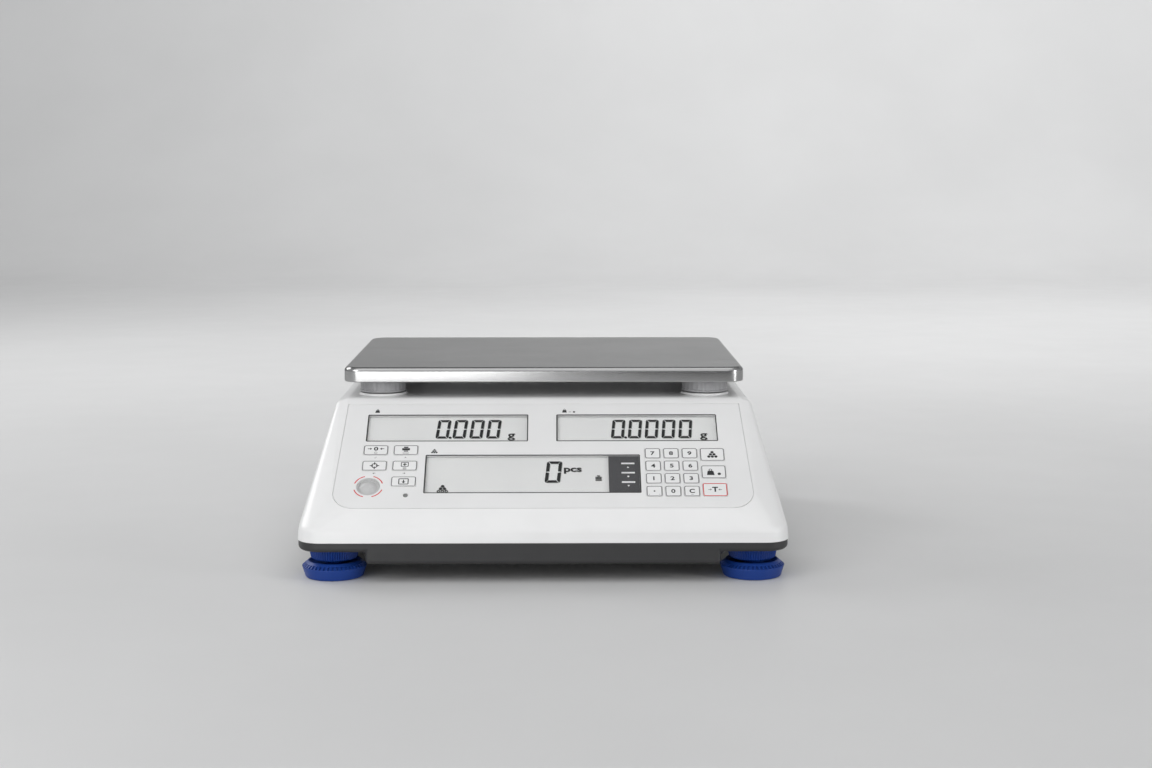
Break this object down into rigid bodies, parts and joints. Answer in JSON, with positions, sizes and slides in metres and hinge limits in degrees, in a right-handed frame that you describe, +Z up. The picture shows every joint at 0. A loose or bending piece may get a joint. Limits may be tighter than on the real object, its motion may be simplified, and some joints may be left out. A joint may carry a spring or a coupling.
{
  "type": "counting scale",
  "caption": "Bench counting scale with a lift-off stainless pan, a sloping panel with displays and keys, a bubble level and screw-adjusted levelling feet.",
  "frame": {"origin": "centre of the surface the feet rest on, under the middle of the base", "axes": "+X to the operator's right, +Y to the back, +Z up; the panel faces -Y and slopes 36 degrees"},
  "size_m": [0.34, 0.335, 0.137],
  "materials": {
    "white_shell": "fine moulded satin",
    "dark_tray": "fine moulded texture",
    "panel_film": "printed polyester film",
    "clear_window": "clear",
    "display_glass": "satin display glass",
    "dark_lens": "tinted lens",
    "level_glass": "polished",
    "circuit_board": "solder mask",
    "machined_aluminium": "milled",
    "cast_aluminium": "die cast",
    "zinc_steel": "zinc plated",
    "brass_insert": "turned",
    "battery_wrap": "shrink wrap",
    "black_plastic": "moulded",
    "grey_cap": "satin moulded, fluted",
    "blue_plastic": "fine moulded texture",
    "stainless_pan": "brushed from side to side"
  },
  "bodies": {
    "housing": {"lower_tray": "dark_tray", "upper_shell": "white_shell", "front_overlay": "panel_film", "key_membrane": "panel_film", "weight_window": "clear_window", "piece_weight_window": "clear_window", "count_window": "clear_window", "weight_lcd": "display_glass", "piece_weight_lcd": "display_glass", "count_lcd": "display_glass", "limit_lights": "dark_lens", "level_vial": "level_glass", "display_board": "circuit_board", "main_board": "circuit_board", "load_cell": "machined_aluminium", "load_cell_plate": "machined_aluminium", "load_cell_bolts": "zinc_steel", "overload_stops": "zinc_steel", "battery": "battery_wrap", "dc_jack": "black_plastic", "serial_port": "zinc_steel", "casing_screws": "zinc_steel", "foot_inserts": "brass_insert"},
    "weighing_frame": {"weighing_frame": "cast_aluminium", "frame_bolts": "zinc_steel", "support_caps": "grey_cap"},
    "pan": {"pan": "stainless_pan"},
    "battery_door": {"battery_door": "dark_tray"},
    "foot_stud_front_left": {"foot_stud_front_left": "zinc_steel"},
    "foot_pad_front_left": {"foot_pad_front_left": "blue_plastic"},
    "lock_nut_front_left": {"lock_nut_front_left": "blue_plastic"},
    "foot_stud_front_right": {"foot_stud_front_right": "zinc_steel"},
    "foot_pad_front_right": {"foot_pad_front_right": "blue_plastic"},
    "lock_nut_front_right": {"lock_nut_front_right": "blue_plastic"},
    "foot_stud_rear_left": {"foot_stud_rear_left": "zinc_steel"},
    "foot_pad_rear_left": {"foot_pad_rear_left": "blue_plastic"},
    "lock_nut_rear_left": {"lock_nut_rear_left": "blue_plastic"},
    "foot_stud_rear_right": {"foot_stud_rear_right": "zinc_steel"},
    "foot_pad_rear_right": {"foot_pad_rear_right": "blue_plastic"},
    "lock_nut_rear_right": {"lock_nut_rear_right": "blue_plastic"},
    "key_point": {"key_point": "panel_film"},
    "key_0": {"key_0": "panel_film"},
    "key_clear": {"key_clear": "panel_film"},
    "key_1": {"key_1": "panel_film"},
    "key_2": {"key_2": "panel_film"},
    "key_3": {"key_3": "panel_film"},
    "key_4": {"key_4": "panel_film"},
    "key_5": {"key_5": "panel_film"},
    "key_6": {"key_6": "panel_film"},
    "key_7": {"key_7": "panel_film"},
    "key_8": {"key_8": "panel_film"},
    "key_9": {"key_9": "panel_film"},
    "key_tare": {"key_tare": "panel_film"},
    "key_piece_weight": {"key_piece_weight": "panel_film"},
    "key_sample": {"key_sample": "panel_film"},
    "key_zero": {"key_zero": "panel_film"},
    "key_print": {"key_print": "panel_film"},
    "key_target": {"key_target": "panel_film"},
    "key_memory_add": {"key_memory_add": "panel_film"},
    "key_memory": {"key_memory": "panel_film"}
  },
  "joints": [
    {"name": "load_deflection", "type": "slide", "parent": "housing", "child": "weighing_frame", "axis": [0, 0, 1], "range_m": [-0.0005, 0], "stiffness_N_per_m": 360000, "deforming": ["load_cell"]},
    {"name": "pan_lift_off", "type": "slide", "parent": "weighing_frame", "child": "pan", "axis": [0, 0, 1], "range_m": [0, 0.03]},
    {"name": "battery_door_hinge", "type": "hinge", "parent": "housing", "child": "battery_door", "pos_m": [0, -0.127, 0.014], "axis": [1, 0, 0], "range_deg": [-80, 0]},
    {"name": "foot_height_front_left", "type": "slide", "parent": "housing", "child": "foot_stud_front_left", "axis": [0, 0, 1], "range_m": [-0.008, 0]},
    {"name": "foot_turn_front_left", "type": "hinge", "parent": "foot_stud_front_left", "child": "foot_pad_front_left", "pos_m": [-0.146, -0.1405, 0], "axis": [0, 0, 1], "range_deg": [-1921, 0]},
    {"name": "lock_nut_turn_front_left", "type": "hinge", "parent": "housing", "child": "lock_nut_front_left", "pos_m": [-0.146, -0.1405, 0.017], "axis": [0, 0, 1], "range_deg": [-240, 0]},
    {"name": "foot_height_front_right", "type": "slide", "parent": "housing", "child": "foot_stud_front_right", "axis": [0, 0, 1], "range_m": [-0.008, 0]},
    {"name": "foot_turn_front_right", "type": "hinge", "parent": "foot_stud_front_right", "child": "foot_pad_front_right", "pos_m": [0.146, -0.1405, 0], "axis": [0, 0, 1], "range_deg": [-1921, 0]},
    {"name": "lock_nut_turn_front_right", "type": "hinge", "parent": "housing", "child": "lock_nut_front_right", "pos_m": [0.146, -0.1405, 0.017], "axis": [0, 0, 1], "range_deg": [-240, 0]},
    {"name": "foot_height_rear_left", "type": "slide", "parent": "housing", "child": "foot_stud_rear_left", "axis": [0, 0, 1], "range_m": [-0.008, 0]},
    {"name": "foot_turn_rear_left", "type": "hinge", "parent": "foot_stud_rear_left", "child": "foot_pad_rear_left", "pos_m": [-0.146, 0.1405, 0], "axis": [0, 0, 1], "range_deg": [-1921, 0]},
    {"name": "lock_nut_turn_rear_left", "type": "hinge", "parent": "housing", "child": "lock_nut_rear_left", "pos_m": [-0.146, 0.1405, 0.017], "axis": [0, 0, 1], "range_deg": [-240, 0]},
    {"name": "foot_height_rear_right", "type": "slide", "parent": "housing", "child": "foot_stud_rear_right", "axis": [0, 0, 1], "range_m": [-0.008, 0]},
    {"name": "foot_turn_rear_right", "type": "hinge", "parent": "foot_stud_rear_right", "child": "foot_pad_rear_right", "pos_m": [0.146, 0.1405, 0], "axis": [0, 0, 1], "range_deg": [-1921, 0]},
    {"name": "lock_nut_turn_rear_right", "type": "hinge", "parent": "housing", "child": "lock_nut_rear_right", "pos_m": [0.146, 0.1405, 0.017], "axis": [0, 0, 1], "range_deg": [-240, 0]},
    {"name": "key_point_press", "type": "slide", "parent": "housing", "child": "key_point", "axis": [0, 0.5878, -0.809], "range_m": [0, 0.00028], "stiffness_N_per_m": 4000},
    {"name": "key_0_press", "type": "slide", "parent": "housing", "child": "key_0", "axis": [0, 0.5878, -0.809], "range_m": [0, 0.00028], "stiffness_N_per_m": 4000},
    {"name": "key_clear_press", "type": "slide", "parent": "housing", "child": "key_clear", "axis": [0, 0.5878, -0.809], "range_m": [0, 0.00028], "stiffness_N_per_m": 4000},
    {"name": "key_1_press", "type": "slide", "parent": "housing", "child": "key_1", "axis": [0, 0.5878, -0.809], "range_m": [0, 0.00028], "stiffness_N_per_m": 4000},
    {"name": "key_2_press", "type": "slide", "parent": "housing", "child": "key_2", "axis": [0, 0.5878, -0.809], "range_m": [0, 0.00028], "stiffness_N_per_m": 4000},
    {"name": "key_3_press", "type": "slide", "parent": "housing", "child": "key_3", "axis": [0, 0.5878, -0.809], "range_m": [0, 0.00028], "stiffness_N_per_m": 4000},
    {"name": "key_4_press", "type": "slide", "parent": "housing", "child": "key_4", "axis": [0, 0.5878, -0.809], "range_m": [0, 0.00028], "stiffness_N_per_m": 4000},
    {"name": "key_5_press", "type": "slide", "parent": "housing", "child": "key_5", "axis": [0, 0.5878, -0.809], "range_m": [0, 0.00028], "stiffness_N_per_m": 4000},
    {"name": "key_6_press", "type": "slide", "parent": "housing", "child": "key_6", "axis": [0, 0.5878, -0.809], "range_m": [0, 0.00028], "stiffness_N_per_m": 4000},
    {"name": "key_7_press", "type": "slide", "parent": "housing", "child": "key_7", "axis": [0, 0.5878, -0.809], "range_m": [0, 0.00028], "stiffness_N_per_m": 4000},
    {"name": "key_8_press", "type": "slide", "parent": "housing", "child": "key_8", "axis": [0, 0.5878, -0.809], "range_m": [0, 0.00028], "stiffness_N_per_m": 4000},
    {"name": "key_9_press", "type": "slide", "parent": "housing", "child": "key_9", "axis": [0, 0.5878, -0.809], "range_m": [0, 0.00028], "stiffness_N_per_m": 4000},
    {"name": "key_tare_press", "type": "slide", "parent": "housing", "child": "key_tare", "axis": [0, 0.5878, -0.809], "range_m": [0, 0.00028], "stiffness_N_per_m": 4000},
    {"name": "key_piece_weight_press", "type": "slide", "parent": "housing", "child": "key_piece_weight", "axis": [0, 0.5878, -0.809], "range_m": [0, 0.00028], "stiffness_N_per_m": 4000},
    {"name": "key_sample_press", "type": "slide", "parent": "housing", "child": "key_sample", "axis": [0, 0.5878, -0.809], "range_m": [0, 0.00028], "stiffness_N_per_m": 4000},
    {"name": "key_zero_press", "type": "slide", "parent": "housing", "child": "key_zero", "axis": [0, 0.5878, -0.809], "range_m": [0, 0.00028], "stiffness_N_per_m": 4000},
    {"name": "key_print_press", "type": "slide", "parent": "housing", "child": "key_print", "axis": [0, 0.5878, -0.809], "range_m": [0, 0.00028], "stiffness_N_per_m": 4000},
    {"name": "key_target_press", "type": "slide", "parent": "housing", "child": "key_target", "axis": [0, 0.5878, -0.809], "range_m": [0, 0.00028], "stiffness_N_per_m": 4000},
    {"name": "key_memory_add_press", "type": "slide", "parent": "housing", "child": "key_memory_add", "axis": [0, 0.5878, -0.809], "range_m": [0, 0.00028], "stiffness_N_per_m": 4000},
    {"name": "key_memory_press", "type": "slide", "parent": "housing", "child": "key_memory", "axis": [0, 0.5878, -0.809], "range_m": [0, 0.00028], "stiffness_N_per_m": 4000}
  ],
  "couplings": [
    {"joint": "foot_turn_front_left", "follows": "foot_height_front_left", "rad_per_m": 4188.8},
    {"joint": "foot_turn_front_right", "follows": "foot_height_front_right", "rad_per_m": 4188.8},
    {"joint": "foot_turn_rear_left", "follows": "foot_height_rear_left", "rad_per_m": 4188.8},
    {"joint": "foot_turn_rear_right", "follows": "foot_height_rear_right", "rad_per_m": 4188.8}
  ]
}
